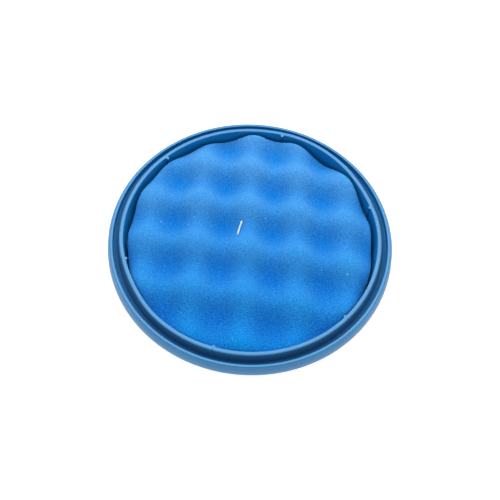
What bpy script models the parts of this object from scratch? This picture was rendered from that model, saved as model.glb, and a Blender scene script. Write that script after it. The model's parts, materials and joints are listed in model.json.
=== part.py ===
"""Round motor filter of a vacuum cleaner: a moulded ring that holds a felt disc and an egg-crate
foam disc on a grille, with one nylon tag pin through the stack.

Run it with: blender --background --python part.py
Units are metres. +Z is up, towards the foam, and the origin is the middle of the underside.
"""

import math

import bmesh
import bpy
from mathutils import Matrix, Vector

MM = 0.001
GAP = 0.3 * MM                        # play between pieces that touch

# Ring: radii and heights that drive the design
SKIRT_RADIUS = 73.1 * MM              # lower outer edge of the flared skirt, the widest point
SHOULDER_RADIUS = 72.3 * MM           # where the rim's outer slope turns down into the skirt
RIM_OUTER_RADIUS = 71.6 * MM
RIM_INNER_RADIUS = 70.1 * MM
LIP_OUTER_RADIUS = 66.35 * MM
LIP_INNER_RADIUS = 64.4 * MM
CHANNEL_OUTER_RADIUS = 69.95 * MM
CHANNEL_INNER_RADIUS = 67.9 * MM      # where the lip's sloping outside meets the channel floor
CUP_OUTER_RADIUS = 65.6 * MM
CUP_INNER_RADIUS = 64.1 * MM
LEDGE_INNER_RADIUS = 58.5 * MM
LIP_TOP = 20.0 * MM                   # height of the lip above the underside
RIM_TOP = 17.6 * MM
SHOULDER_HEIGHT = 15.9 * MM
CHANNEL_FLOOR = 14.3 * MM
CHANNEL_UNDERSIDE = 12.8 * MM
SKIRT_FOOT = 11.5 * MM
LEDGE_THICKNESS = 1.8 * MM
WALL = 1.5 * MM
EDGE_ROUND = 0.45 * MM
RING_SEGMENTS = 96

# Six ribs on the inside of the lip, rooted in its wall
RIB_COUNT = 6
RIB_START = math.radians(17)
RIB_WIDTH = 1.2 * MM
RIB_PROUD = 0.8 * MM
RIB_ROOT = 0.6 * MM

# Grille
GRILLE_RADIUS = CUP_INNER_RADIUS - GAP
GRILLE_BASE = LEDGE_THICKNESS + GAP
GRILLE_THICKNESS = 2.0 * MM
GRILLE_BORDER = 3.4 * MM
RING_BAR = 1.6 * MM
RING_RADII = (24.0 * MM, 36.0 * MM, 48.0 * MM)
HUB_RADIUS = 12.0 * MM
SPOKE_COUNT = 12
SPOKE_WIDTH = 2.0 * MM
SPOKE_ROOT = 1.0 * MM                 # how far a spoke runs into the hub and into the border
BORDER_SEGMENTS = 72
BAR_SEGMENTS = 60
HUB_SEGMENTS = 36

# Felt
FELT_RADIUS = 62.8 * MM
FELT_BASE = GRILLE_BASE + GRILLE_THICKNESS + GAP
FELT_THICKNESS = 2.0 * MM
FELT_SEGMENTS = 72

# Foam: an egg-crate surface, with columns and slightly sloping, slightly bowed rows of peaks
FOAM_RADIUS = 62.6 * MM
FOAM_BASE = FELT_BASE + FELT_THICKNESS + GAP
FOAM_MIDDLE = 16.0 * MM               # mean height of the surface
FOAM_RELIEF = 9.5 * MM                # from the top of a peak to the bottom of a dip
COLUMN_PITCH = 25.8 * MM
ROW_PITCH = 25.5 * MM
ROW_SLOPE = -0.1                      # change of y for each step in x along a row
ROW_BOW = 0.8                         # how fast a row's ends bow towards -Y, per metre
COLUMN_FAN = 0.3                      # how fast the columns close up towards +Y, per metre
PEAK_X = -1.7 * MM
PEAK_Y = 17.9 * MM
FOAM_RINGS = 14
FOAM_SEGMENTS = 72

# Tag pin: the bar is drawn half into the foam, and the paddle lies under the grille's hub
PIN_X = -5.9 * MM
PIN_Y = 4.5 * MM
PIN_ANGLE = math.radians(78)
BAR_LENGTH = 8.7 * MM
BAR_RADIUS = 0.5 * MM
FILAMENT_RADIUS = 0.25 * MM
PIN_HOLE_RADIUS = FILAMENT_RADIUS + GAP
PADDLE = (5.0 * MM, 3.0 * MM, 0.8 * MM)
HOLE_SPARE = 2.0 * MM                 # how far the hole's cutter stands out at each end
PIN_SEGMENTS = 10
FILAMENT_SEGMENTS = 8

# Colours as linear red, green and blue
RING_BLUE = (0.045, 0.22, 0.50)
FOAM_BLUE = (0.03, 0.26, 0.70)
FELT_WHITE = (0.82, 0.83, 0.82)
NYLON_WHITE = (0.80, 0.85, 0.88)


def clear_scene():
    for old in list(bpy.data.objects):
        bpy.data.objects.remove(old, do_unlink=True)


def material(name, colour, roughness):
    made = bpy.data.materials.new(name)
    made.use_nodes = True
    shader = made.node_tree.nodes["Principled BSDF"]
    shader.inputs["Base Color"].default_value = (*colour, 1.0)
    shader.inputs["Roughness"].default_value = roughness
    shader.inputs["Metallic"].default_value = 0.0
    return made


def object_from(mesh_data, name, finish=None):
    """Turn a bmesh into a named object with outward faces."""
    bmesh.ops.recalc_face_normals(mesh_data, faces=mesh_data.faces)
    mesh = bpy.data.meshes.new(name)
    mesh_data.to_mesh(mesh)
    mesh_data.free()
    made = bpy.data.objects.new(name, mesh)
    bpy.context.collection.objects.link(made)
    if finish:
        mesh.materials.append(finish)
        mesh.shade_smooth()
        mesh.set_sharp_from_angle(angle=math.radians(35))
    return made


def combine(target, other, operation):
    """Add or cut another object with a live Boolean, and keep the other one as a hidden helper."""
    step = target.modifiers.new(other.name, "BOOLEAN")
    step.operation = operation
    step.solver = "EXACT"
    step.object = other
    other.hide_render = True
    other.display_type = "WIRE"


def turned(profile, segments):
    """Spin a closed profile of (radius, height) points once round Z."""
    made = bmesh.new()
    loops = []
    for step in range(segments):
        angle = 2 * math.pi * step / segments
        loop = [
            made.verts.new((radius * math.cos(angle), radius * math.sin(angle), height))
            for radius, height in profile
        ]
        loops.append(loop)
    count = len(profile)
    for step in range(segments):
        here = loops[step]
        there = loops[(step + 1) % segments]
        for corner in range(count):
            after = (corner + 1) % count
            made.faces.new((here[corner], here[after], there[after], there[corner]))
    return made


def washer(inner, outer, low, high, segments):
    profile = [(outer, low), (outer, high), (inner, high), (inner, low)]
    return turned(profile, segments)


def add_box(mesh_data, centre, size, angle=0.0):
    """Add a box of the given size, turned about Z through the origin."""
    place = Matrix.Rotation(angle, 4, "Z") @ Matrix.Translation(centre)
    stretch = Matrix.Diagonal((*size, 1.0))
    bmesh.ops.create_cube(mesh_data, size=1.0, matrix=place @ stretch)


def ring_profile():
    """Section of the ring, from the skirt's foot up and over the lip and back underneath."""
    skirt_inside = SKIRT_RADIUS - WALL
    return [
        (SKIRT_RADIUS, SKIRT_FOOT),
        (SHOULDER_RADIUS, SHOULDER_HEIGHT),
        (RIM_OUTER_RADIUS, RIM_TOP - EDGE_ROUND),
        (RIM_OUTER_RADIUS - EDGE_ROUND, RIM_TOP),
        (RIM_INNER_RADIUS + EDGE_ROUND, RIM_TOP),
        (RIM_INNER_RADIUS, RIM_TOP - EDGE_ROUND),
        (CHANNEL_OUTER_RADIUS, CHANNEL_FLOOR),
        (CHANNEL_INNER_RADIUS, CHANNEL_FLOOR),
        (LIP_OUTER_RADIUS, LIP_TOP - EDGE_ROUND),
        (LIP_OUTER_RADIUS - EDGE_ROUND, LIP_TOP),
        (LIP_INNER_RADIUS + EDGE_ROUND, LIP_TOP),
        (LIP_INNER_RADIUS, LIP_TOP - EDGE_ROUND),
        (CUP_INNER_RADIUS, LEDGE_THICKNESS),
        (LEDGE_INNER_RADIUS, LEDGE_THICKNESS),
        (LEDGE_INNER_RADIUS, 0.0),
        (CUP_OUTER_RADIUS - EDGE_ROUND, 0.0),
        (CUP_OUTER_RADIUS, EDGE_ROUND),
        (CUP_OUTER_RADIUS, CHANNEL_UNDERSIDE),
        (skirt_inside, CHANNEL_UNDERSIDE),
        (skirt_inside, SKIRT_FOOT),
    ]


def rib_cluster():
    """Six wedges that run up the inside of the lip, from just above the grille."""
    made = bmesh.new()
    low = FELT_BASE
    high = LIP_TOP - EDGE_ROUND
    root = LIP_INNER_RADIUS + RIB_ROOT
    half = RIB_WIDTH / 2
    for index in range(RIB_COUNT):
        angle = RIB_START + 2 * math.pi * index / RIB_COUNT
        turn = Matrix.Rotation(angle, 4, "Z")
        outline = [
            (CUP_INNER_RADIUS - RIB_PROUD, 0.0),
            (root, -half),
            (root, half),
        ]
        lower = [made.verts.new(turn @ Vector((x, y, low))) for x, y in outline]
        upper = [made.verts.new(turn @ Vector((x, y, high))) for x, y in outline]
        made.faces.new(lower)
        made.faces.new(upper)
        for corner in range(3):
            after = (corner + 1) % 3
            made.faces.new((lower[corner], lower[after], upper[after], upper[corner]))
    return made


def build_frame_ring():
    ring = object_from(
        turned(ring_profile(), RING_SEGMENTS),
        "frame_ring",
        material("ring_blue", RING_BLUE, 0.42),
    )
    combine(ring, object_from(rib_cluster(), "helper_ribs"), "UNION")


def build_grille():
    """Border ring, hub, spokes and three rings of bars, joined into one moulding."""
    base = GRILLE_BASE
    top = base + GRILLE_THICKNESS
    inner = GRILLE_RADIUS - GRILLE_BORDER
    grille = object_from(
        washer(inner, GRILLE_RADIUS, base, top, BORDER_SEGMENTS),
        "support_grille",
        material("grille_blue", RING_BLUE, 0.45),
    )

    bars = bmesh.new()
    length = inner - HUB_RADIUS + 2 * SPOKE_ROOT
    middle = (inner + HUB_RADIUS) / 2
    for index in range(SPOKE_COUNT):
        angle = RIB_START + 2 * math.pi * index / SPOKE_COUNT
        spoke_size = (length, SPOKE_WIDTH, GRILLE_THICKNESS)
        add_box(bars, (middle, 0.0, base + GRILLE_THICKNESS / 2), spoke_size, angle)
    combine(grille, object_from(bars, "helper_spokes"), "UNION")

    hub = bmesh.new()
    bmesh.ops.create_cone(
        hub,
        cap_ends=True,
        segments=HUB_SEGMENTS,
        radius1=HUB_RADIUS,
        radius2=HUB_RADIUS,
        depth=GRILLE_THICKNESS,
        matrix=Matrix.Translation((0.0, 0.0, base + GRILLE_THICKNESS / 2)),
    )
    combine(grille, object_from(hub, "helper_hub"), "UNION")

    for number, radius in enumerate(RING_RADII):
        bar = washer(radius - RING_BAR / 2, radius + RING_BAR / 2, base, top, BAR_SEGMENTS)
        combine(grille, object_from(bar, f"helper_ring_bar_{number}"), "UNION")
    combine(grille, pin_hole("helper_grille_hole", base, top), "DIFFERENCE")


def pin_hole(name, low, high):
    """Cutter for the filament's hole, a little longer than the piece it goes through."""
    made = bmesh.new()
    bmesh.ops.create_cone(
        made,
        cap_ends=True,
        segments=PIN_SEGMENTS,
        radius1=PIN_HOLE_RADIUS,
        radius2=PIN_HOLE_RADIUS,
        depth=high - low + 2 * HOLE_SPARE,
        matrix=Matrix.Translation((PIN_X, PIN_Y, (low + high) / 2)),
    )
    return object_from(made, name)


def build_felt():
    made = bmesh.new()
    top = FELT_BASE + FELT_THICKNESS
    bmesh.ops.create_cone(
        made,
        cap_ends=True,
        segments=FELT_SEGMENTS,
        radius1=FELT_RADIUS,
        radius2=FELT_RADIUS,
        depth=FELT_THICKNESS,
        matrix=Matrix.Translation((0.0, 0.0, (FELT_BASE + top) / 2)),
    )
    felt = object_from(made, "felt_disc", material("felt_white", FELT_WHITE, 0.95))
    combine(felt, pin_hole("helper_felt_hole", FELT_BASE, top), "DIFFERENCE")


def foam_height(x, y):
    """Height of the egg-crate surface above the underside."""
    column_step = x - PEAK_X + COLUMN_FAN * x * y
    row_step = y - PEAK_Y - ROW_SLOPE * x + ROW_BOW * (x * x + y * y)
    across = math.cos(2 * math.pi * column_step / COLUMN_PITCH)
    along = math.cos(2 * math.pi * row_step / ROW_PITCH)
    return FOAM_MIDDLE + (across + along) * FOAM_RELIEF / 4


def build_foam():
    """Disc with the egg-crate surface on top: rings of points round the middle, then the side."""
    made = bmesh.new()
    centre = made.verts.new((0.0, 0.0, foam_height(0.0, 0.0)))
    rings = []
    for step in range(1, FOAM_RINGS + 1):
        radius = FOAM_RADIUS * step / FOAM_RINGS
        ring = []
        for turn in range(FOAM_SEGMENTS):
            angle = 2 * math.pi * turn / FOAM_SEGMENTS
            x = radius * math.cos(angle)
            y = radius * math.sin(angle)
            ring.append(made.verts.new((x, y, foam_height(x, y))))
        rings.append(ring)
    foot = [made.verts.new((point.co.x, point.co.y, FOAM_BASE)) for point in rings[-1]]
    rings.append(foot)
    for turn in range(FOAM_SEGMENTS):
        after = (turn + 1) % FOAM_SEGMENTS
        made.faces.new((centre, rings[0][turn], rings[0][after]))
        for inner, outer in zip(rings, rings[1:]):
            made.faces.new((inner[turn], outer[turn], outer[after], inner[after]))
    made.faces.new(foot)
    bmesh.ops.triangulate(made, faces=[face for face in made.faces if len(face.verts) > 4])
    foam = object_from(made, "foam_pad", material("foam_blue", FOAM_BLUE, 0.9))
    combine(foam, pin_hole("helper_foam_hole", FOAM_BASE, FOAM_MIDDLE), "DIFFERENCE")
    groove = object_from(bar_shape(GAP), "helper_bar_groove")
    combine(foam, groove, "DIFFERENCE")


def bar_place():
    """Middle of the pin's bar and its direction, from where its two ends meet the foam."""
    middle = Vector((PIN_X, PIN_Y, 0.0))
    half = Vector((math.cos(PIN_ANGLE), math.sin(PIN_ANGLE), 0.0)) * BAR_LENGTH / 2
    ends = [middle - half, middle + half]
    for end in ends:
        end.z = foam_height(end.x, end.y)
    return (ends[0] + ends[1]) / 2, (ends[1] - ends[0]).normalized()


def bar_shape(margin):
    """The pin's bar, or with a margin the groove that it presses into the foam."""
    centre, along = bar_place()
    tilt = along.to_track_quat("Z", "Y").to_matrix().to_4x4()
    made = bmesh.new()
    bmesh.ops.create_cone(
        made,
        cap_ends=True,
        segments=PIN_SEGMENTS,
        radius1=BAR_RADIUS + margin,
        radius2=BAR_RADIUS + margin,
        depth=BAR_LENGTH + 2 * margin,
        matrix=Matrix.Translation(centre) @ tilt,
    )
    return made


def build_tag_pin():
    """Bar on the foam, filament through the stack and paddle under the hub, in one piece."""
    centre, _ = bar_place()
    pin = object_from(bar_shape(0.0), "tag_pin", material("nylon_white", NYLON_WHITE, 0.35))

    paddle_top = GRILLE_BASE - GAP
    low = paddle_top - PADDLE[2] / 2
    filament = bmesh.new()
    bmesh.ops.create_cone(
        filament,
        cap_ends=True,
        segments=FILAMENT_SEGMENTS,
        radius1=FILAMENT_RADIUS,
        radius2=FILAMENT_RADIUS,
        depth=centre.z - low,
        matrix=Matrix.Translation((PIN_X, PIN_Y, (centre.z + low) / 2)),
    )
    combine(pin, object_from(filament, "helper_filament"), "UNION")

    paddle = bmesh.new()
    place = Matrix.Translation((PIN_X, PIN_Y, low))
    turn = Matrix.Rotation(PIN_ANGLE, 4, "Z")
    bmesh.ops.create_cube(paddle, size=1.0, matrix=place @ turn @ Matrix.Diagonal((*PADDLE, 1.0)))
    combine(pin, object_from(paddle, "helper_paddle"), "UNION")


clear_scene()
build_frame_ring()
build_grille()
build_felt()
build_foam()
build_tag_pin()
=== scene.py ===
# %% [markdown]
# # A round motor filter, piece by piece
# This lesson builds the looks of a vacuum cleaner's round motor filter round a finished CAD frame:
# a blue moulded ring, a grille, a felt disc, an egg-crate foam disc and a small nylon tag pin.
# The frame gives every size and place, so the first step loads it and measures it.

import json
import math

import bpy
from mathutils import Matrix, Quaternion, Vector

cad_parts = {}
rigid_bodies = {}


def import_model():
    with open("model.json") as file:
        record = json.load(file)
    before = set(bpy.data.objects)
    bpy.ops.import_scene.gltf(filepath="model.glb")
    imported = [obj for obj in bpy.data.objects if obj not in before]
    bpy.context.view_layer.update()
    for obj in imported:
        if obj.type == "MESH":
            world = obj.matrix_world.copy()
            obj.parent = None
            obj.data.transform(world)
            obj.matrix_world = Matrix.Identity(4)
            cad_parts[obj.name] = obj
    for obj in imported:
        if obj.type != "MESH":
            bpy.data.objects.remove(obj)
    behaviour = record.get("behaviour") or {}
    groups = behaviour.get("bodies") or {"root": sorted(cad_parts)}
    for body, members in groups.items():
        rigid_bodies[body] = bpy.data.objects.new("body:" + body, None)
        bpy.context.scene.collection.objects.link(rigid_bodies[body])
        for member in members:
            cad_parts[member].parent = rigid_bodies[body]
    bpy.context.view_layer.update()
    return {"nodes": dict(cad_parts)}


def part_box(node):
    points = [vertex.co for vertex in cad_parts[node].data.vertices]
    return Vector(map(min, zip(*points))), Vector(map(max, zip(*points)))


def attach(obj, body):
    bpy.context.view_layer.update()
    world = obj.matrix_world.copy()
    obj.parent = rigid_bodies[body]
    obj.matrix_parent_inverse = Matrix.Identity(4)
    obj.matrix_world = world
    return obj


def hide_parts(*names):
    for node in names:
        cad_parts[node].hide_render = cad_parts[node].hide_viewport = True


# The start-up file's own cube, lamp and camera go first.
for old in list(bpy.data.objects):
    bpy.data.objects.remove(old, do_unlink=True)

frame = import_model()
MM = 0.001
print("pieces in the frame:", sorted(frame["nodes"]))

# %% [markdown]
# ## Sizes
# The ring is a turned shape, so its section says nearly everything about it. The widest radius and
# the height are read from the frame. The other radii and heights follow from those two, in the
# proportions of the moulding: a thin lip, a narrow channel, a rim and a flared skirt. Writing them
# as steps from the two sizes read keeps the section whole if the frame ever changes a little.

# %% Sizes of the ring
ring_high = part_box("frame_ring")[1]
SKIRT_RADIUS = ring_high.x
LIP_TOP = ring_high.z
RIM_TOP = LIP_TOP - 2.4 * MM
SHOULDER_HEIGHT = RIM_TOP - 1.7 * MM
CHANNEL_FLOOR = RIM_TOP - 3.3 * MM
CHANNEL_UNDERSIDE = CHANNEL_FLOOR - 1.5 * MM
SKIRT_FOOT = RIM_TOP - 6.1 * MM
LEDGE_THICKNESS = 1.8 * MM
SHOULDER_RADIUS = SKIRT_RADIUS - 0.65 * MM
RIM_OUTER = SKIRT_RADIUS - 1.5 * MM
RIM_INNER = RIM_OUTER - 1.7 * MM
RIM_ROUND_OUT = 0.6 * MM
RIM_ROUND_IN = 0.4 * MM
CHANNEL_OUTER = RIM_INNER - 0.1 * MM
LIP_OUTER = SKIRT_RADIUS - 6.75 * MM
LIP_INNER = LIP_OUTER - 1.95 * MM
CHANNEL_INNER = LIP_OUTER + 1.55 * MM
CUP_INNER = SKIRT_RADIUS - 9.0 * MM
CUP_OUTER = SKIRT_RADIUS - 7.5 * MM
LEDGE_INNER = SKIRT_RADIUS - 14.6 * MM
SKIRT_WALL = 1.5 * MM
EDGE_ROUND = 0.4 * MM
RING_STEPS = 288
print(f"skirt radius {SKIRT_RADIUS / MM:.1f} mm, lip {(LIP_OUTER - LIP_INNER) / MM:.2f} mm thick")

# %% [markdown]
# ## Small helpers
# Blender's operators act on whatever is selected, so each piece starts from an empty selection.
# These helpers keep that habit in one place: pick one object, apply its modifiers in order, select
# parts of a mesh by a rule, and write a finished mesh's place into its points.

# %% Helpers for selecting and applying


def pick(piece):
    """Make one object the only selected and the active one, in object mode."""
    if bpy.context.object and bpy.context.object.mode != "OBJECT":
        bpy.ops.object.mode_set(mode="OBJECT")
    bpy.ops.object.select_all(action="DESELECT")
    piece.select_set(True)
    bpy.context.view_layer.objects.active = piece
    return piece


def just_added(name):
    """Name the primitive that an operator has just added, and pick it."""
    piece = bpy.context.object
    piece.name = name
    piece.data.name = name
    return pick(piece)


def apply_all(piece):
    """Apply every modifier in its order."""
    pick(piece)
    for step in list(piece.modifiers):
        bpy.ops.object.modifier_apply(modifier=step.name)


def settle(piece):
    """Put the place, turn and size of an object into its mesh."""
    pick(piece)
    bpy.ops.object.transform_apply(location=True, rotation=True, scale=True)


def edit_all(piece):
    """Go into edit mode with everything selected."""
    pick(piece)
    bpy.ops.object.mode_set(mode="EDIT")
    bpy.ops.mesh.select_all(action="SELECT")


def select_points(piece, rule):
    """In edit mode, select only the points for which the rule holds."""
    bpy.ops.mesh.select_mode(type="VERT")
    bpy.ops.mesh.select_all(action="DESELECT")
    bpy.ops.object.mode_set(mode="OBJECT")
    for point in piece.data.vertices:
        point.select = rule(point.co)
    bpy.ops.object.mode_set(mode="EDIT")


def boolean(piece, tool, operation):
    """Join or cut with a second object, and throw the second one away."""
    step = piece.modifiers.new("joint", "BOOLEAN")
    step.operation = operation
    step.solver = "EXACT"
    step.object = tool
    apply_all(piece)
    bpy.data.objects.remove(tool, do_unlink=True)


def finish_piece(piece, node, finish, angle=35):
    """Shade, dress and hang a finished piece on the frame in place of its CAD node."""
    settle(piece)
    bpy.ops.object.shade_smooth_by_angle(angle=math.radians(angle))
    piece.data.materials.clear()
    piece.data.materials.append(finish)
    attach(piece, "root")
    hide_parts(node)
    corners = [point.co for point in piece.data.vertices]
    size = [(max(c[i] for c in corners) - min(c[i] for c in corners)) / MM for i in range(3)]
    print(piece.name, "mm:", [round(side, 1) for side in size], len(piece.data.polygons), "faces")


# %% [markdown]
# ## Camera
# The camera looks down on the filter from about 59 degrees, some 37 cm away, and it is held a
# little crooked. It is placed first, because everything that follows is judged through it.
# A track quaternion turns the lens to its aim, and a second turn about the line of sight adds the
# tilt.

# %% Camera
CAMERA_DISTANCE = 373.7 * MM
CAMERA_ELEVATION = math.radians(59.46)
CAMERA_TILT = math.radians(3.035)
LENS = 52.75
SENSOR_WIDTH = 36.0
NEAR_CLIP = 0.01
FAR_CLIP = 50.0
AIM_OFFSET = Vector((0.05, -9.05, 0.0)) * MM

ring_centre = Vector((0.0, 0.0, RIM_TOP))
aim = ring_centre + AIM_OFFSET
back = Vector((0.0, -math.cos(CAMERA_ELEVATION), math.sin(CAMERA_ELEVATION)))
camera_data = bpy.data.cameras.new("camera")
camera_data.lens = LENS
camera_data.sensor_width = SENSOR_WIDTH
camera = bpy.data.objects.new("camera", camera_data)
bpy.context.collection.objects.link(camera)
camera.location = ring_centre + back * CAMERA_DISTANCE
look = (camera.location - aim).to_track_quat("Z", "Y")
camera.rotation_mode = "QUATERNION"
camera.rotation_quaternion = look @ Quaternion((0.0, 0.0, 1.0), CAMERA_TILT)
camera_data.clip_start = NEAR_CLIP
camera_data.clip_end = FAR_CLIP
bpy.context.scene.camera = camera
print("camera at", [round(value, 3) for value in camera.location])

# %% [markdown]
# ## Light and floor
# The filter lies in a white light tent: the floor and the air are white, and one wide soft lamp
# hangs above and behind it. It is near enough for the back of the filter to be clearly brighter
# than the front. A large lamp gives soft edges to the shadows in the foam's dips. The tent is
# brightest near the floor, and the floor glows, so it stays white and the shadows on it are faint.
# The Standard view transform keeps the strong blue as it is.

# %% World
scene = bpy.context.scene
scene.view_settings.view_transform = "Standard"
scene.view_settings.look = "None"
world = bpy.data.worlds.new("light_tent")
scene.world = world
world.use_nodes = True
world_nodes = world.node_tree.nodes
world_nodes["Background"].inputs["Color"].default_value = (1.0, 1.0, 1.0, 1.0)
SKY_STRENGTH = 0.38
HORIZON_STRENGTH = 1.0
HORIZON_TOP = 0.08
SKY_START = 0.22
sky_place = world_nodes.new("ShaderNodeTexCoord")
sky_split = world_nodes.new("ShaderNodeSeparateXYZ")
sky_fall = world_nodes.new("ShaderNodeMapRange")
sky_fall.inputs["From Min"].default_value = HORIZON_TOP
sky_fall.inputs["From Max"].default_value = SKY_START
sky_fall.inputs["To Min"].default_value = HORIZON_STRENGTH
sky_fall.inputs["To Max"].default_value = SKY_STRENGTH
world_links = world.node_tree.links
world_links.new(sky_place.outputs["Generated"], sky_split.inputs["Vector"])
world_links.new(sky_split.outputs["Z"], sky_fall.inputs["Value"])
world_links.new(sky_fall.outputs["Result"], world_nodes["Background"].inputs["Strength"])
print("tent strength at the horizon and above:", HORIZON_STRENGTH, SKY_STRENGTH)

# %% Floor
FLOOR_SIDE = 8.0
FLOOR_GREY = 0.35
FLOOR_GLOW = 0.92
FLOOR_ROUGHNESS = 0.9
bpy.ops.object.select_all(action="DESELECT")
bpy.ops.mesh.primitive_plane_add(size=FLOOR_SIDE, location=(0.0, 0.0, 0.0))
floor = just_added("floor")
floor_paint = bpy.data.materials.new("white_floor")
floor_paint.use_nodes = True
floor_shader = floor_paint.node_tree.nodes["Principled BSDF"]
floor_shader.inputs["Base Color"].default_value = (*[FLOOR_GREY] * 3, 1.0)
floor_shader.inputs["Roughness"].default_value = FLOOR_ROUGHNESS
floor_shader.inputs["Emission Color"].default_value = (1.0, 1.0, 1.0, 1.0)
floor_shader.inputs["Emission Strength"].default_value = FLOOR_GLOW
floor.data.materials.append(floor_paint)
print("floor:", FLOOR_SIDE, "m square")

# %% Lamp


def add_lamp(name, place, size, power):
    """Rectangular lamp at a place, turned towards the origin."""
    data = bpy.data.lights.new(name, "AREA")
    data.shape = "RECTANGLE"
    data.size, data.size_y = size
    data.energy = power
    lamp = bpy.data.objects.new(name, data)
    bpy.context.collection.objects.link(lamp)
    lamp.location = place
    lamp.rotation_mode = "QUATERNION"
    lamp.rotation_quaternion = Vector(place).to_track_quat("Z", "Y")
    return lamp


KEY_PLACE = (0.0, 0.27, 0.62)
KEY_SIZE = (0.9, 0.6)
KEY_WATTS = 6.4
add_lamp("soft_key", KEY_PLACE, KEY_SIZE, KEY_WATTS)

# %% [markdown]
# ## Material helpers
# All finishes are made from nodes on Object coordinates, so a pattern has the same scale on every
# piece and stays where it is when the piece is looked at from elsewhere.

# %% Helpers for materials


def new_finish(name, roughness):
    """New material: itself, its nodes and links, its shader and its Object coordinates."""
    finish = bpy.data.materials.new(name)
    finish.use_nodes = True
    nodes = finish.node_tree.nodes
    shader = nodes["Principled BSDF"]
    shader.inputs["Roughness"].default_value = roughness
    place = nodes.new("ShaderNodeTexCoord")
    return finish, nodes, finish.node_tree.links, shader, place.outputs["Object"]


def noise(nodes, links, where, size, detail=2.0, rough=0.5):
    """Noise whose grains measure about the given size in metres."""
    node = nodes.new("ShaderNodeTexNoise")
    node.inputs["Scale"].default_value = 1.0 / size
    node.inputs["Detail"].default_value = detail
    node.inputs["Roughness"].default_value = rough
    links.new(where, node.inputs["Vector"])
    return node.outputs["Fac"]


def remap(nodes, links, value, low, high, to_low, to_high):
    """Stretch a value from one range to another, and stop at its ends."""
    node = nodes.new("ShaderNodeMapRange")
    node.inputs["From Min"].default_value = low
    node.inputs["From Max"].default_value = high
    node.inputs["To Min"].default_value = to_low
    node.inputs["To Max"].default_value = to_high
    links.new(value, node.inputs["Value"])
    return node.outputs["Result"]


def blend_colours(nodes, links, share, first, second):
    """Go from the first colour to the second by a share. Each is a colour or a socket."""
    node = nodes.new("ShaderNodeMix")
    node.data_type = "RGBA"
    links.new(share, node.inputs["Factor"])
    for socket, colour in ((node.inputs["A"], first), (node.inputs["B"], second)):
        if isinstance(colour, tuple):
            socket.default_value = (*colour, 1.0)
        else:
            links.new(colour, socket)
    return node.outputs["Result"]


def bump(nodes, links, shader, height, depth, strength=1.0):
    """Press a pattern into the surface, to a depth in metres."""
    node = nodes.new("ShaderNodeBump")
    node.inputs["Strength"].default_value = strength
    node.inputs["Distance"].default_value = depth
    links.new(height, node.inputs["Height"])
    links.new(node.outputs["Normal"], shader.inputs["Normal"])


def multiply(nodes, links, first, second):
    """Product of two values."""
    node = nodes.new("ShaderNodeMath")
    node.operation = "MULTIPLY"
    links.new(first, node.inputs[0])
    links.new(second, node.inputs[1])
    return node.outputs["Value"]


print("materials so far:", sorted(finish.name for finish in bpy.data.materials))

# %% [markdown]
# ## The ring's plastic
# The ring is moulded in a soft blue plastic with a satin skin. The mould's fine spark texture
# shows as a faint grain, so a small noise drives the bump, and a wide weak one shifts the colour
# as the melt does. The roughness is middling: the white tent shows in it as a broad pale sheen.
# The lip's outer wall and the floor of the narrow channel are duller, because the mould can't be
# polished there, and their colour is darker: painted shade for the shade that falls in the narrow
# channel. The nodes find that place from the distance to the axis and the height, with no second
# material.

# %% Plastic of the ring and the grille
RING_BLUE = (0.002, 0.203, 0.475)
RING_BLUE_DEEP = (0.000, 0.182, 0.450)
RING_GLOSS = 0.6
RING_ROUGHNESS = 0.36
GRILLE_ROUGHNESS = 0.42
CHANNEL_ROUGHER = 0.5
MELT_SIZE = 18 * MM
SPARK_SIZE = 0.35 * MM
SPARK_DEPTH = 0.02 * MM
MELT_RANGE = (0.35, 0.65)
SPARK_RANGE = (0.3, 0.7)
SPARK_SMOOTHER = 0.05
SPARK_ROUGHER = 0.07
# Darker blue on the lip's outer wall and the channel floor: painted shade.
CHANNEL_PAINTED_SHADE = (0.000, 0.090, 0.245)
WALL_BLEND = 0.1 * MM
FLOOR_BLEND = 0.5 * MM
TOP_CLEAR = (0.45 * MM, 0.2 * MM)


def channel_shade_and_dull_mask(nodes, links, where):
    """One on the lip's outer wall and the channel's floor, and nought elsewhere: where the painted
    shade and the duller finish go.
    """
    split = nodes.new("ShaderNodeSeparateXYZ")
    links.new(where, split.inputs["Vector"])
    flat = nodes.new("ShaderNodeCombineXYZ")
    links.new(split.outputs["X"], flat.inputs["X"])
    links.new(split.outputs["Y"], flat.inputs["Y"])
    radius = nodes.new("ShaderNodeVectorMath")
    radius.operation = "LENGTH"
    links.new(flat.outputs["Vector"], radius.inputs[0])
    far = radius.outputs["Value"]
    lip_middle = (LIP_INNER + LIP_OUTER) / 2
    wall = (lip_middle - WALL_BLEND, lip_middle + WALL_BLEND)
    inner = remap(nodes, links, far, *wall, 0.0, 1.0)
    outer = remap(nodes, links, far, CHANNEL_OUTER - FLOOR_BLEND, CHANNEL_OUTER, 1.0, 0.0)
    under_top = (LIP_TOP - TOP_CLEAR[0], LIP_TOP - TOP_CLEAR[1])
    below = remap(nodes, links, split.outputs["Z"], *under_top, 1.0, 0.0)
    return multiply(nodes, links, multiply(nodes, links, inner, outer), below)


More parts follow.
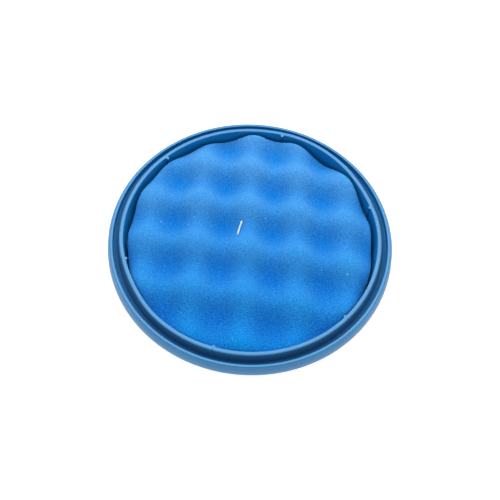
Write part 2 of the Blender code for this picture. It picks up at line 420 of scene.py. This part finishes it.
def moulded_plastic(name, light, deep, roughness):
    """Satin plastic in two near blues, duller in the channel, with painted shade darkening the
    channel.
    """
    finish, nodes, links, shader, where = new_finish(name, roughness)
    cloud = noise(nodes, links, where, MELT_SIZE, detail=3.0)
    share = remap(nodes, links, cloud, *MELT_RANGE, 0.0, 1.0)
    melt = blend_colours(nodes, links, share, light, deep)
    hidden = channel_shade_and_dull_mask(nodes, links, where)
    # The channel's darker colour is painted shade.
    links.new(blend_colours(nodes, links, hidden, melt, CHANNEL_PAINTED_SHADE), shader.inputs["Base Color"])
    grain = noise(nodes, links, where, SPARK_SIZE, detail=3.0, rough=0.6)
    dull = nodes.new("ShaderNodeMath")
    dull.operation = "MULTIPLY_ADD"
    dull.inputs[1].default_value = CHANNEL_ROUGHER
    links.new(hidden, dull.inputs[0])
    smoothest, roughest = roughness - SPARK_SMOOTHER, roughness + SPARK_ROUGHER
    spark = remap(nodes, links, grain, *SPARK_RANGE, smoothest, roughest)
    links.new(spark, dull.inputs[2])
    links.new(dull.outputs["Value"], shader.inputs["Roughness"])
    bump(nodes, links, shader, grain, SPARK_DEPTH, strength=0.6)
    shader.inputs["Specular IOR Level"].default_value = RING_GLOSS
    return finish


ring_plastic = moulded_plastic("ring_plastic", RING_BLUE, RING_BLUE_DEEP, RING_ROUGHNESS)
grille_plastic = moulded_plastic("grille_plastic", RING_BLUE, RING_BLUE_DEEP, GRILLE_ROUGHNESS)
print("made:", ring_plastic.name, grille_plastic.name)

# %% [markdown]
# ## The ring
# The ring is one round moulding: a cup wall that ends in the lip, a narrow channel, a rim, a
# flared skirt, and a ledge at the bottom that carries the grille. Its section could be spun round
# the axis. Here one circle is pulled up, out and in again, loop by loop, until it closes on
# itself, because each step is then a plain extrude and a resize. Two quarter circles round the
# rim's top. The other corners are bevelled at once, which gives them the small radii of a
# moulding.

# %% Ring: its section
ARC_STEPS = 4


def quarter(radius, round_size, start):
    """Quarter of a circle under the rim's top, from an angle, round a centre at a radius."""
    points = []
    for step in range(ARC_STEPS + 1):
        turn = start + math.pi / 2 * step / ARC_STEPS
        across = radius + round_size * math.cos(turn)
        points.append((across, RIM_TOP - round_size * (1.0 - math.sin(turn))))
    return points


ring_section = [
    (SHOULDER_RADIUS, SHOULDER_HEIGHT),
    *quarter(RIM_OUTER - RIM_ROUND_OUT, RIM_ROUND_OUT, 0.0),
    *quarter(RIM_INNER + RIM_ROUND_IN, RIM_ROUND_IN, math.pi / 2),
    (CHANNEL_OUTER, CHANNEL_FLOOR),
    (CHANNEL_INNER, CHANNEL_FLOOR),
    (LIP_OUTER, LIP_TOP),
    (LIP_INNER, LIP_TOP),
    (CUP_INNER, LEDGE_THICKNESS),
    (LEDGE_INNER, LEDGE_THICKNESS),
    (LEDGE_INNER, 0.0),
    (CUP_OUTER, 0.0),
    (CUP_OUTER, CHANNEL_UNDERSIDE),
    (SKIRT_RADIUS - SKIRT_WALL, CHANNEL_UNDERSIDE),
    (SKIRT_RADIUS - SKIRT_WALL, SKIRT_FOOT),
]
print("points in the section:", len(ring_section) + 1)

# %% Ring: pull a circle round the section


def pull_loops(start, section):
    """Extrude the selected loop through the other points of a section, and close it."""
    radius, height = start
    for next_radius, next_height in section:
        rise = (0.0, 0.0, next_height - height)
        bpy.ops.mesh.extrude_edges_move(TRANSFORM_OT_translate={"value": rise})
        share = next_radius / radius
        bpy.ops.transform.resize(value=(share, share, 1.0), center_override=(0.0, 0.0, 0.0))
        radius, height = next_radius, next_height


bpy.ops.object.select_all(action="DESELECT")
bpy.ops.mesh.primitive_circle_add(
    vertices=RING_STEPS,
    radius=SKIRT_RADIUS,
    fill_type="NOTHING",
    location=(0.0, 0.0, SKIRT_FOOT),
)
ring = just_added("ring_moulding")
settle(ring)
edit_all(ring)
pull_loops((SKIRT_RADIUS, SKIRT_FOOT), ring_section)
bpy.ops.mesh.select_mode(type="EDGE")
bpy.ops.mesh.select_all(action="DESELECT")
bpy.ops.mesh.select_non_manifold()
bpy.ops.mesh.bridge_edge_loops()
bpy.ops.mesh.select_all(action="SELECT")
bpy.ops.mesh.normals_make_consistent(inside=False)
ring.update_from_editmode()
print("ring faces before the bevel:", len(ring.data.polygons))

# %% Ring: bevel its corners
SHARP_FROM = math.radians(40)
bpy.ops.mesh.select_all(action="DESELECT")
bpy.ops.mesh.edges_select_sharp(sharpness=SHARP_FROM)
bpy.ops.mesh.bevel(offset=EDGE_ROUND, segments=4, profile=0.5, clamp_overlap=True)
bpy.ops.object.mode_set(mode="OBJECT")
print("ring faces after the bevel:", len(ring.data.polygons))

# %% [markdown]
# ## The lip's gentle dents
# A thin lip like this warps a little as it cools and as the foam is pressed in. In edit mode, the
# rest of the ring is hidden, one place of the lip's top is selected, and a proportional move pulls
# it and its neighbours inwards with a smooth fall-off. Hidden points stay where they are.

# %% Ring: dents in the lip
LIP_DENTS = (
    (math.radians(26), 0.6 * MM),
    (math.radians(66), -0.5 * MM),
    (math.radians(208), 0.6 * MM),
)
DENT_REACH = 24 * MM
DENT_SPOT = 2.2 * MM
edit_all(ring)
select_points(ring, lambda co: co.z > RIM_TOP + MM)
bpy.ops.mesh.hide(unselected=True)
for angle, depth in LIP_DENTS:
    inward = -Vector((math.cos(angle), math.sin(angle), 0.0))
    spot = -inward * LIP_OUTER
    select_points(ring, lambda co: (Vector((co.x, co.y, 0.0)) - spot).length < DENT_SPOT)
    bpy.ops.transform.translate(
        value=inward * depth,
        use_proportional_edit=True,
        proportional_edit_falloff="SMOOTH",
        proportional_size=DENT_REACH,
    )
bpy.ops.mesh.reveal()
bpy.ops.object.mode_set(mode="OBJECT")
print("lip dents in mm:", [round(depth / MM, 1) for _, depth in LIP_DENTS])

# %% [markdown]
# ## Ribs on the lip
# Six thin ribs run up the inside of the lip, one every 60 degrees. Each ends at the top in a small
# tab that points inwards, and a fine nick is cut in the lip's outer edge behind it. A four-sided
# cylinder is a slim diamond in plan, and a four-sided cone is a tab that widens upwards, so both
# only need a size and a turn before a Boolean joins them to the ring.

# %% Ring: a tool for ribs, tabs and nicks
RIB_COUNT = 6
RIB_START = math.radians(17)
RIB_WIDTH = 0.9 * MM
RIB_PROUD = 0.35 * MM
TAB_WIDTH = 1.9 * MM
TAB_PROUD = [proud * MM for proud in (0.8, 1.5, 1.7, 0.8, 0.5, 0.5)]
TAB_HEIGHT = 1.6 * MM
TAB_FOOT_SHARE = 0.3
NICK_WIDTH = 0.45 * MM
NICK_DEPTH = 0.6 * MM
NICK_INWARDS = 0.9 * MM
NICK_OUTWARDS = 1.2 * MM
RIB_TOP = LIP_TOP - 0.3 * MM
TAB_TOP = LIP_TOP - 0.05 * MM
NEAREST = 6
TOP_SLICE = 0.1 * MM
OVERLAP = MM
grille_low, grille_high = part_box("support_grille")
RIB_FOOT = grille_high.z + 0.3 * MM


def wedge(name, inner, outer, width, low, high, angle, foot_share=1.0):
    """Four-sided prism between two radii, turned about the axis, narrower at its foot if asked."""
    bpy.ops.object.select_all(action="DESELECT")
    bpy.ops.mesh.primitive_cone_add(vertices=4, radius1=0.5 * foot_share, radius2=0.5, depth=1.0)
    piece = just_added(name)
    piece.scale = (outer - inner, width, high - low)
    piece.location = ((inner + outer) / 2, 0.0, (low + high) / 2)
    settle(piece)
    piece.rotation_euler = (0.0, 0.0, angle)
    settle(piece)
    return piece


def lip_shift(angle):
    """How far the lip's inner edge stands from its round shape at an angle."""
    spot = Vector((math.cos(angle), math.sin(angle), 0.0))
    near = [co.co for co in ring.data.vertices if co.co.z > LIP_TOP - TOP_SLICE]
    near.sort(key=lambda co: (Vector((co.x, co.y, 0.0)).normalized() - spot).length)
    return min(Vector((co.x, co.y, 0.0)).length for co in near[:NEAREST]) - LIP_INNER - EDGE_ROUND


print("ribs:", RIB_COUNT, "tabs in mm:", [round(proud / MM, 1) for proud in TAB_PROUD])

# %% Ring: weld the ribs and tabs, cut the nicks
for index in range(RIB_COUNT):
    angle = RIB_START + 2 * math.pi * index / RIB_COUNT
    inner_edge = LIP_INNER + lip_shift(angle)
    outer_edge = inner_edge + LIP_OUTER - LIP_INNER
    rib = wedge(
        f"rib_{index}",
        inner_edge - RIB_PROUD,
        inner_edge + OVERLAP,
        RIB_WIDTH,
        RIB_FOOT,
        RIB_TOP,
        angle,
    )
    boolean(ring, rib, "UNION")
    tab = wedge(
        f"tab_{index}",
        inner_edge - TAB_PROUD[index],
        inner_edge + TAB_PROUD[index],
        TAB_WIDTH,
        LIP_TOP - TAB_HEIGHT,
        TAB_TOP,
        angle,
        TAB_FOOT_SHARE,
    )
    boolean(ring, tab, "UNION")
    nick = wedge(
        f"nick_{index}",
        outer_edge - NICK_INWARDS,
        outer_edge + NICK_OUTWARDS,
        NICK_WIDTH,
        LIP_TOP - NICK_DEPTH,
        LIP_TOP + OVERLAP,
        angle,
    )
    boolean(ring, nick, "DIFFERENCE")
finish_piece(ring, "frame_ring", ring_plastic)

# %% [markdown]
# ## The grille
# The media lie on a round grille: a border, a hub, twelve spokes and three rings of bars, all in
# one moulding. Holes could be cut in a plate, but their shapes are awkward. The members are plain
# discs, rings and bars, so each is added at its size, Booleans weld them together, and one bevel
# softens all the edges.

# %% Grille: sizes and tools
SPOKE_COUNT = 12
SPOKE_WIDTH = 2.0 * MM
BORDER_WIDTH = 3.4 * MM
HUB_RADIUS = 12.0 * MM
BAR_WIDTH = 1.6 * MM
BAR_RADII = (24.0 * MM, 36.0 * MM, 48.0 * MM)
GRILLE_RADIUS = grille_high.x
GRILLE_MIDDLE = (grille_low.z + grille_high.z) / 2
GRILLE_DEPTH = grille_high.z - grille_low.z
BORDER_STEPS = 180
BAR_STEPS = 144
HUB_STEPS = 96
GRILLE_EDGE = 0.25 * MM
GRILLE_SHARP = math.radians(50)


def disc(name, radius, low, high, steps):
    """Flat cylinder between two heights, settled."""
    bpy.ops.object.select_all(action="DESELECT")
    bpy.ops.mesh.primitive_cylinder_add(
        vertices=steps,
        radius=radius,
        depth=high - low,
        location=(0.0, 0.0, (low + high) / 2),
    )
    piece = just_added(name)
    settle(piece)
    return piece


def hoop(name, inner, outer, low, high, steps):
    """Flat ring: a disc with a smaller one cut out."""
    piece = disc(name, outer, low, high, steps)
    bore = disc(name + "_bore", inner, low - OVERLAP, high + OVERLAP, steps)
    boolean(piece, bore, "DIFFERENCE")
    return piece


print("grille mm:", round(2 * GRILLE_RADIUS / MM, 1), "wide,", round(GRILLE_DEPTH / MM, 1), "deep")

# %% Grille: border, rings of bars and hub
grille = hoop(
    "grille",
    GRILLE_RADIUS - BORDER_WIDTH,
    GRILLE_RADIUS,
    grille_low.z,
    grille_high.z,
    BORDER_STEPS,
)
for radius in BAR_RADII:
    member = hoop(
        "bar_ring",
        radius - BAR_WIDTH / 2,
        radius + BAR_WIDTH / 2,
        grille_low.z,
        grille_high.z,
        BAR_STEPS,
    )
    boolean(grille, member, "UNION")
boolean(grille, disc("hub", HUB_RADIUS, grille_low.z, grille_high.z, HUB_STEPS), "UNION")
print("grille faces before the spokes:", len(grille.data.polygons))

# %% Grille: spokes and edges
SPOKE_LENGTH = GRILLE_RADIUS - BORDER_WIDTH - HUB_RADIUS + 2 * OVERLAP
for index in range(SPOKE_COUNT):
    angle = RIB_START + 2 * math.pi * index / SPOKE_COUNT
    bpy.ops.object.select_all(action="DESELECT")
    bpy.ops.mesh.primitive_cube_add(size=1.0)
    spoke = just_added("spoke")
    spoke.scale = (SPOKE_LENGTH, SPOKE_WIDTH, GRILLE_DEPTH)
    spoke.location = (HUB_RADIUS - OVERLAP + SPOKE_LENGTH / 2, 0.0, GRILLE_MIDDLE)
    settle(spoke)
    spoke.rotation_euler = (0.0, 0.0, angle)
    settle(spoke)
    boolean(grille, spoke, "UNION")
edge_step = grille.modifiers.new("edges", "BEVEL")
edge_step.width = GRILLE_EDGE
edge_step.segments = 2
edge_step.limit_method = "ANGLE"
edge_step.angle_limit = GRILLE_SHARP
apply_all(grille)
finish_piece(grille, "support_grille", grille_plastic)

# %% [markdown]
# ## Felt
# Under the foam lies a disc of needled white felt. It is a flat sheet with a soft edge and an
# uneven face: long thin noise on two crossed axes gives the look of tangled fibres. A hanging
# sheet would be simulated, but this one is held flat, so an even mesh with a slight wave is
# enough.

# %% Felt: finish
FELT_WHITE = (0.86, 0.87, 0.86)
FELT_GREY = (0.66, 0.68, 0.69)
FIBRE_LENGTHS = (2.4 * MM, 2.0 * MM)
FELT_DEPTH = 0.25 * MM
FELT_ROUGHNESS = 0.95
FIBRES_ALONG = (1.0, 6.0, 1.0)
FIBRES_ACROSS = (5.0, 1.0, 1.0)
FIBRES_TURN = math.radians(35)
FIBRE_RANGE = (0.7, 1.3)
FELT_SHEEN = 0.3
FELT_SHEEN_ROUGHNESS = 0.6


def fibres(nodes, links, where, stretch, turn, length):
    """Noise drawn out into fibres by a stretch and a turn."""
    drawn = nodes.new("ShaderNodeMapping")
    drawn.inputs["Scale"].default_value = stretch
    drawn.inputs["Rotation"].default_value = (0.0, 0.0, turn)
    links.new(where, drawn.inputs["Vector"])
    return noise(nodes, links, drawn.outputs["Vector"], length, detail=4.0, rough=0.65)


def felt_finish():
    """Off-white felt with two directions of fibres."""
    finish, nodes, links, shader, where = new_finish("needled_felt", FELT_ROUGHNESS)
    first = fibres(nodes, links, where, FIBRES_ALONG, 0.0, FIBRE_LENGTHS[0])
    second = fibres(nodes, links, where, FIBRES_ACROSS, FIBRES_TURN, FIBRE_LENGTHS[1])
    sum_node = nodes.new("ShaderNodeMath")
    sum_node.operation = "ADD"
    links.new(first, sum_node.inputs[0])
    links.new(second, sum_node.inputs[1])
    share = remap(nodes, links, sum_node.outputs["Value"], *FIBRE_RANGE, 0.0, 1.0)
    mixed = blend_colours(nodes, links, share, FELT_GREY, FELT_WHITE)
    links.new(mixed, shader.inputs["Base Color"])
    bump(nodes, links, shader, sum_node.outputs["Value"], FELT_DEPTH, strength=0.8)
    shader.inputs["Sheen Weight"].default_value = FELT_SHEEN
    shader.inputs["Sheen Roughness"].default_value = FELT_SHEEN_ROUGHNESS
    return finish


needled_felt = felt_finish()
print("made:", needled_felt.name)

# %% Felt: disc with a soft uneven face
FELT_VOXEL = 1.1 * MM
FELT_STEPS = 180
WAVES_X = 310
WAVES_Y = 270
FULLNESS = 0.93
WAVE_SHARE = 0.05
felt_low, felt_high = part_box("felt_disc")
felt = disc("felt_sheet", felt_high.x, felt_low.z, felt_high.z, FELT_STEPS)
mesh_step = felt.modifiers.new("even_mesh", "REMESH")
mesh_step.mode = "VOXEL"
mesh_step.voxel_size = FELT_VOXEL
apply_all(felt)
middle = (felt_low.z + felt_high.z) / 2
for point in felt.data.vertices:
    wave = math.sin(point.co.x * WAVES_X) * math.sin(point.co.y * WAVES_Y + 1.0)
    point.co.z = middle + (point.co.z - middle) * (FULLNESS + WAVE_SHARE * wave)
finish_piece(felt, "felt_disc", needled_felt, angle=60)

# %% [markdown]
# ## Foam: colour and cells
# Open-cell foam glows a little where it is seen at a low angle, and a sheen gives that glow. The
# colour is mixed twice: by height, with a painted highlight on the ridges and painted shade in the
# dips, and from front to back, lighter towards the back as painted light from the lamp behind it.
# The cells are far too small to model, so fine noise makes them, both as a speckle in the colour
# and as a bump. The cells' walls are paler and their hollows deeper in colour, so the speckle
# changes red most and blue least. A few stray grains are almost white.

# %% Foam: finish
foam_low, foam_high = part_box("foam_pad")
FOAM_RELIEF = 9.5 * MM
# The ridge colours hold a painted highlight, the dip colours painted shade, and the back pair
# painted light from the lamp behind.
FOAM_RIDGE_LIT = (0.000, 0.202, 0.605)
FOAM_DIP_SHADED = (0.000, 0.113, 0.475)
BACK_LIT_RIDGE = (0.074, 0.296, 0.685)
BACK_LIT_DIP = (0.000, 0.178, 0.585)
PALE_FROM = 0.75
BACK_LIGHT_REACH = 60 * MM
CELL_DARK = (0.200, 0.740, 0.890)
CELL_LIGHT = (1.800, 1.220, 1.060)
FOAM_STRUT = (0.060, 0.380, 0.740)
FOAM_SPECK = (0.550, 0.750, 0.950)
CELL_SIZE = 0.5 * MM
SPECK_SIZE = 1.1 * MM
CELL_DEPTH = 0.2 * MM
HOLLOW_TO_WALL = (0.35, 0.65)
STRUT_RANGE = (0.48, 0.68)
STRUT_SHARE = 0.34
SPECK_RANGE = (0.80, 0.83)
FOAM_GLOSS = 0.1
SHEEN_WEIGHT = 0.6
SHEEN_ROUGHNESS = 0.3
SHEEN_TINT = (0.30, 1.0, 0.95)


def foam_finish():
    """Blue by height and from front to back, with painted highlight on the ridges, painted shade
    in the dips and painted light towards the back; speckled by the cells.
    """
    finish, nodes, links, shader, where = new_finish("open_cell_foam", 1.0)
    split = nodes.new("ShaderNodeSeparateXYZ")
    links.new(where, split.inputs["Vector"])
    height = split.outputs["Z"]
    deepest = foam_high.z - FOAM_RELIEF
    palest = deepest + PALE_FROM * FOAM_RELIEF
    share = remap(nodes, links, height, deepest, palest, 0.0, 1.0)
    # Paler ridges and darker dips by height: painted highlight and painted shade.
    front_colours = blend_colours(nodes, links, share, FOAM_DIP_SHADED, FOAM_RIDGE_LIT)
    back_lit_colours = blend_colours(nodes, links, share, BACK_LIT_DIP, BACK_LIT_RIDGE)
    # Lighter towards the back: painted light from the lamp behind.
    backwards = remap(nodes, links, split.outputs["Y"], -BACK_LIGHT_REACH, BACK_LIGHT_REACH, 0.0, 1.0)
    blue_with_painted_light = blend_colours(nodes, links, backwards, front_colours, back_lit_colours)
    cells = noise(nodes, links, where, CELL_SIZE, detail=2.0, rough=0.7)
    depth = remap(nodes, links, cells, *HOLLOW_TO_WALL, 0.0, 1.0)
    speckle = blend_colours(nodes, links, depth, CELL_DARK, CELL_LIGHT)
    tint = nodes.new("ShaderNodeVectorMath")
    tint.operation = "MULTIPLY"
    links.new(blue_with_painted_light, tint.inputs[0])
    links.new(speckle, tint.inputs[1])
    struts = remap(nodes, links, cells, *STRUT_RANGE, 0.0, STRUT_SHARE)
    fine = blend_colours(nodes, links, struts, tint.outputs["Vector"], FOAM_STRUT)
    grains = noise(nodes, links, where, SPECK_SIZE, detail=1.0)
    rare = remap(nodes, links, grains, *SPECK_RANGE, 0.0, 1.0)
    coloured = blend_colours(nodes, links, rare, fine, FOAM_SPECK)
    links.new(coloured, shader.inputs["Base Color"])
    bump(nodes, links, shader, cells, CELL_DEPTH, strength=0.6)
    shader.inputs["Specular IOR Level"].default_value = FOAM_GLOSS
    shader.inputs["Sheen Weight"].default_value = SHEEN_WEIGHT
    shader.inputs["Sheen Roughness"].default_value = SHEEN_ROUGHNESS
    shader.inputs["Sheen Tint"].default_value = (*SHEEN_TINT, 1.0)
    return finish


open_cell_foam = foam_finish()
print("made:", open_cell_foam.name)

# %% [markdown]
# ## Foam: the egg-crate disc
# Egg-crate foam is cut between two studded rollers, which leaves rows of round peaks and dips. The
# sum of two cosines has exactly that shape. A cylinder is remeshed to small even faces, and each
# point is then moved to the height that the two waves give at its place. Where the foam is thick
# it also swells towards the ring, and where it is thin it draws back, so the disc's edge is wavy.
# The front half is pressed closer to the ring than the back half, and its border bows down there.
# A last displacement with fine clouds roughens the skin as the open cells do.

# %% Foam: its waves
COLUMN_PITCH = 25.8 * MM
ROW_PITCH = 25.5 * MM
ROW_SLOPE = -0.1
ROW_BOW = 0.8
COLUMN_FAN = 0.3
PEAK_X = -1.7 * MM
PEAK_Y = 17.9 * MM
FOAM_MIDDLE = 16.0 * MM
EDGE_CALM = 0.25
EDGE_POWER = 6


def foam_height(x, y):
    """Height of the foam's face at a place, calmer towards its edge."""
    column_step = x - PEAK_X + COLUMN_FAN * x * y
    row_step = y - PEAK_Y - ROW_SLOPE * x + ROW_BOW * (x * x + y * y)
    across = math.cos(2 * math.pi * column_step / COLUMN_PITCH)
    along = math.cos(2 * math.pi * row_step / ROW_PITCH)
    calm = 1.0 - EDGE_CALM * (math.hypot(x, y) / foam_high.x) ** EDGE_POWER
    return FOAM_MIDDLE + (across + along) * calm * FOAM_RELIEF / 4


print("foam height at the middle in mm:", round(foam_height(0.0, 0.0) / MM, 1))

# %% Foam: an even mesh, moved to the waves
FOAM_VOXEL = 0.65 * MM
FOAM_STEPS = 240
EDGE_SWELL = 0.05
EDGE_OVAL = 0.35 * MM
EDGE_FILL = 0.9 * MM
FILL_START = 0.05
FILL_BLEND = 0.4
EDGE_DROP = 1.7 * MM
EDGE_REACH = 5.0 * MM
foam = disc("foam_disc", foam_high.x, foam_low.z, foam_high.z, FOAM_STEPS)
mesh_step = foam.modifiers.new("even_mesh", "REMESH")
mesh_step.mode = "VOXEL"
mesh_step.voxel_size = FOAM_VOXEL
apply_all(foam)
foam_deep = foam_high.z - foam_low.z
for point in foam.data.vertices:
    x, y, z = point.co
    top_here = foam_height(x, y)
    radius = math.hypot(x, y)
    angle = math.atan2(y, x)
    swell = EDGE_SWELL * (top_here - FOAM_MIDDLE) - EDGE_OVAL * math.cos(2 * angle)
    pressed = min(max((FILL_START - math.sin(angle)) / FILL_BLEND, 0.0), 1.0)
    swell += EDGE_FILL * pressed
    outwards = max(radius - foam_high.x + EDGE_REACH, 0.0) / EDGE_REACH
    top_here -= EDGE_DROP * pressed * outwards**2
    share = (z - foam_low.z) / foam_deep
    point.co.z = foam_low.z + share * (top_here - foam_low.z)
    stretch = 1.0 + swell / foam_high.x * (radius / foam_high.x) ** EDGE_POWER
    point.co.x = x * stretch
    point.co.y = y * stretch
print("points moved:", len(foam.data.vertices))

# %% Foam: rough skin
SKIN_GRAIN = 0.9 * MM
SKIN_ROUGH = 0.3 * MM
clouds = bpy.data.textures.new("foam_cells", "CLOUDS")
clouds.noise_scale = SKIN_GRAIN
clouds.noise_depth = 2
cell_step = foam.modifiers.new("cells", "DISPLACE")
cell_step.texture = clouds
cell_step.texture_coords = "LOCAL"
cell_step.strength = SKIN_ROUGH
cell_step.mid_level = 0.5
apply_all(foam)
finish_piece(foam, "foam_pad", open_cell_foam, angle=180)

# %% [markdown]
# ## The tag pin
# A nylon tag pin holds the layers together: its bar lies on the foam, a thin filament runs down
# through the stack, and a flat paddle stays under the grille. It is moulded in one piece of milky
# nylon, so its three parts are welded into one skin. A little subsurface scattering makes the
# nylon milky.

# %% Tag pin: finish
NYLON_WHITE = (0.58, 0.65, 0.74)
NYLON_MILKY = (0.50, 0.58, 0.68)
NYLON_ROUGHNESS = 0.35
MILK_SIZE = 1.5 * MM
NYLON_GRAIN = 0.3 * MM
NYLON_DEPTH = 0.02 * MM
MILKINESS = 0.3
MILK_RADIUS = (MM, MM, MM)
MILK_SCALE = 0.5


def nylon_finish():
    """Milky nylon that lets a little light in."""
    finish, nodes, links, shader, where = new_finish("milky_nylon", NYLON_ROUGHNESS)
    cloud = noise(nodes, links, where, MILK_SIZE, detail=3.0)
    mixed = blend_colours(nodes, links, cloud, NYLON_MILKY, NYLON_WHITE)
    links.new(mixed, shader.inputs["Base Color"])
    grain = noise(nodes, links, where, NYLON_GRAIN)
    bump(nodes, links, shader, grain, NYLON_DEPTH, strength=0.5)
    shader.inputs["Subsurface Weight"].default_value = MILKINESS
    shader.inputs["Subsurface Radius"].default_value = MILK_RADIUS
    shader.inputs["Subsurface Scale"].default_value = MILK_SCALE
    return finish


milky_nylon = nylon_finish()
print("made:", milky_nylon.name)

# %% Tag pin: bar
PIN_ANGLE = math.radians(78)
BAR_LENGTH = 8.7 * MM
BAR_RADIUS = 0.5 * MM
BAR_ROUND = 0.3 * MM
pin_low, pin_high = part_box("tag_pin")
pin_x = (pin_low.x + pin_high.x) / 2
pin_y = (pin_low.y + pin_high.y) / 2
middle = Vector((pin_x, pin_y, 0.0))
half = Vector((math.cos(PIN_ANGLE), math.sin(PIN_ANGLE), 0.0)) * BAR_LENGTH / 2
bar_ends = [middle - half, middle + half]
for end in bar_ends:
    end.z = foam_height(end.x, end.y)
bar_centre = (bar_ends[0] + bar_ends[1]) / 2
bar_line = (bar_ends[1] - bar_ends[0]).normalized()

bpy.ops.object.select_all(action="DESELECT")
bpy.ops.mesh.primitive_cylinder_add(
    vertices=24,
    radius=BAR_RADIUS,
    depth=BAR_LENGTH,
    location=bar_centre,
    rotation=bar_line.to_track_quat("Z", "Y").to_euler(),
)
pin = just_added("nylon_tag_pin")
settle(pin)
edge_step = pin.modifiers.new("ends", "BEVEL")
edge_step.width = BAR_ROUND
edge_step.segments = 4
edge_step.limit_method = "ANGLE"
apply_all(pin)
print("bar lies at", round(bar_centre.z / MM, 1), "mm")

# %% Tag pin: filament
FILAMENT_RADIUS = 0.25 * MM
PADDLE_SIZE = (5.0 * MM, 3.0 * MM, 0.8 * MM)
paddle_middle = pin_low.z + PADDLE_SIZE[2] / 2
bpy.ops.object.select_all(action="DESELECT")
bpy.ops.mesh.primitive_cylinder_add(
    vertices=16,
    radius=FILAMENT_RADIUS,
    depth=bar_centre.z - paddle_middle,
    location=(pin_x, pin_y, (bar_centre.z + paddle_middle) / 2),
)
filament = just_added("filament")
settle(filament)
boolean(pin, filament, "UNION")
print("filament mm:", round((bar_centre.z - paddle_middle) / MM, 1))

# %% Tag pin: paddle
PADDLE_ROUND = 0.25 * MM
bpy.ops.object.select_all(action="DESELECT")
bpy.ops.mesh.primitive_cube_add(size=1.0)
paddle = just_added("paddle")
paddle.scale = PADDLE_SIZE
settle(paddle)
edge_step = paddle.modifiers.new("edges", "BEVEL")
edge_step.width = PADDLE_ROUND
edge_step.segments = 3
apply_all(paddle)
paddle.rotation_euler = (0.0, 0.0, PIN_ANGLE)
paddle.location = (pin_x, pin_y, paddle_middle)
settle(paddle)
boolean(pin, paddle, "UNION")
finish_piece(pin, "tag_pin", milky_nylon)
